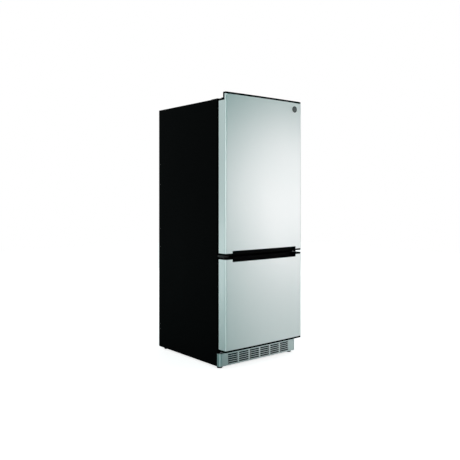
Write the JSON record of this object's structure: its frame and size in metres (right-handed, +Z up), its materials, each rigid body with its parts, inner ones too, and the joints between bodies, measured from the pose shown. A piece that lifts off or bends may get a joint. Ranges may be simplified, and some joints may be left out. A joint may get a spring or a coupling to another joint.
{
  "type": "bottom freezer refrigerator",
  "caption": "Free-standing refrigerator with a black cabinet, a silver left-hung upper door, a silver pull-out freezer drawer, pocket handles and a louvred toe grille.",
  "frame": {"origin": "on the floor, under the middle of the machine's box", "axes": "+X to the right as one faces the doors, +Y from the doors to the back, +Z up"},
  "size_m": [0.7, 0.786, 1.8],
  "materials": {
    "silver_door": "satin",
    "silver_plastic": "satin",
    "black_steel": "satin",
    "black_plastic": "satin",
    "dark_metal": "satin",
    "bare_steel": "satin",
    "coil_aluminium": "satin",
    "white_plastic": "gloss",
    "clear_plastic": "gloss",
    "shelf_glass": "gloss",
    "lamp_lens": "satin",
    "seal": "matte",
    "badge": "polished",
    "foam": "matte"
  },
  "bodies": {
    "cabinet": {"outer_case": "black_steel", "back_panel": "bare_steel", "base_pan": "bare_steel", "compartment_cover": "dark_metal", "cabinet_insulation": "foam", "fresh_food_liner": "white_plastic", "freezer_liner": "white_plastic", "divider_trim": "black_steel", "toe_grille": "silver_plastic", "top_hinge_bracket": "black_steel", "centre_hinge_bracket": "black_steel", "compressor": "dark_metal", "condenser_coil": "dark_metal", "fan_shroud": "bare_steel", "cord_grommet": "seal", "evaporator": "coil_aluminium", "evaporator_cover": "white_plastic", "control_housing": "white_plastic", "lamp_lens": "lamp_lens", "upper_shelf": "shelf_glass", "middle_shelf": "shelf_glass", "crisper_cover": "shelf_glass", "fixed_rail_left": "bare_steel", "fixed_rail_right": "bare_steel"},
    "upper_door": {"door_skin": "silver_door", "door_top_cap": "black_plastic", "door_bottom_cap": "black_plastic", "door_insulation": "foam", "door_liner": "white_plastic", "door_gasket": "seal", "door_handle": "black_plastic", "door_badge": "badge", "dairy_bin": "clear_plastic", "middle_bin": "clear_plastic", "lower_bin": "clear_plastic"},
    "dairy_lid": {"dairy_lid": "clear_plastic"},
    "freezer_drawer": {"drawer_skin": "silver_door", "drawer_top_cap": "black_plastic", "drawer_bottom_cap": "black_plastic", "drawer_insulation": "foam", "drawer_liner": "white_plastic", "drawer_gasket": "seal", "drawer_handle": "black_plastic", "drawer_rail_left": "bare_steel", "drawer_rail_right": "bare_steel", "freezer_basket": "white_plastic"},
    "freezer_tray": {"freezer_tray": "clear_plastic"},
    "middle_rail_left": {"middle_rail_left": "bare_steel"},
    "middle_rail_right": {"middle_rail_right": "bare_steel"},
    "crisper_left": {"crisper_left": "clear_plastic"},
    "crisper_right": {"crisper_right": "clear_plastic"},
    "deli_drawer": {"deli_drawer": "clear_plastic"},
    "temperature_dial": {"temperature_dial": "white_plastic"},
    "light_switch": {"light_switch": "white_plastic"},
    "condenser_fan": {"condenser_fan": "black_plastic"},
    "evaporator_fan": {"evaporator_fan": "white_plastic"},
    "levelling_foot_left": {"levelling_foot_left": "black_plastic"},
    "levelling_foot_right": {"levelling_foot_right": "black_plastic"},
    "rear_roller_left": {"rear_roller_left": "black_plastic"},
    "rear_roller_right": {"rear_roller_right": "black_plastic"}
  },
  "joints": [
    {"name": "upper_door_hinge", "type": "hinge", "parent": "cabinet", "child": "upper_door", "pos_m": [-0.328, -0.343, 0.743], "axis": [0, 0, -1], "range_deg": [0, 120]},
    {"name": "dairy_lid_hinge", "type": "hinge", "parent": "upper_door", "child": "dairy_lid", "pos_m": [0, -0.2837, 1.567], "axis": [1, 0, 0], "range_deg": [0, 75]},
    {"name": "freezer_drawer_slide", "type": "slide", "parent": "cabinet", "child": "freezer_drawer", "axis": [0, -1, 0], "range_m": [0, 0.4]},
    {"name": "middle_rail_left_slide", "type": "slide", "parent": "cabinet", "child": "middle_rail_left", "axis": [0, -1, 0], "range_m": [0, 0.2]},
    {"name": "middle_rail_right_slide", "type": "slide", "parent": "cabinet", "child": "middle_rail_right", "axis": [0, -1, 0], "range_m": [0, 0.2]},
    {"name": "freezer_tray_slide", "type": "slide", "parent": "freezer_drawer", "child": "freezer_tray", "axis": [0, 1, 0], "range_m": [0, 0.19]},
    {"name": "crisper_left_slide", "type": "slide", "parent": "cabinet", "child": "crisper_left", "axis": [0, -1, 0], "range_m": [0, 0.1]},
    {"name": "crisper_right_slide", "type": "slide", "parent": "cabinet", "child": "crisper_right", "axis": [0, -1, 0], "range_m": [0, 0.1]},
    {"name": "deli_drawer_slide", "type": "slide", "parent": "cabinet", "child": "deli_drawer", "axis": [0, -1, 0], "range_m": [0, 0.1]},
    {"name": "temperature_dial_turn", "type": "hinge", "parent": "cabinet", "child": "temperature_dial", "pos_m": [-0.09, -0.187, 1.684], "axis": [0, 1, 0], "range_deg": [-135, 135]},
    {"name": "light_switch_press", "type": "slide", "parent": "cabinet", "child": "light_switch", "axis": [0, 1, 0], "range_m": [0, 0.006], "stiffness_N_per_m": 150},
    {"name": "condenser_fan_spin", "type": "hinge", "parent": "cabinet", "child": "condenser_fan", "pos_m": [-0.079, 0.285, 0.15], "axis": [1, 0, 0], "continuous": true},
    {"name": "evaporator_fan_spin", "type": "hinge", "parent": "cabinet", "child": "evaporator_fan", "pos_m": [0, 0.296, 0.612], "axis": [0, 1, 0], "continuous": true},
    {"name": "levelling_foot_left_turn", "type": "hinge", "parent": "cabinet", "child": "levelling_foot_left", "pos_m": [-0.318, -0.288, 0], "axis": [0, 0, 1], "continuous": true},
    {"name": "levelling_foot_right_turn", "type": "hinge", "parent": "cabinet", "child": "levelling_foot_right", "pos_m": [0.318, -0.288, 0], "axis": [0, 0, 1], "continuous": true},
    {"name": "rear_roller_left_spin", "type": "hinge", "parent": "cabinet", "child": "rear_roller_left", "pos_m": [-0.325, 0.335, 0.02], "axis": [1, 0, 0], "continuous": true},
    {"name": "rear_roller_right_spin", "type": "hinge", "parent": "cabinet", "child": "rear_roller_right", "pos_m": [0.325, 0.335, 0.02], "axis": [1, 0, 0], "continuous": true}
  ],
  "couplings": [
    {"joint": "middle_rail_left_slide", "follows": "freezer_drawer_slide", "ratio": 0.5},
    {"joint": "middle_rail_right_slide", "follows": "freezer_drawer_slide", "ratio": 0.5}
  ]
}
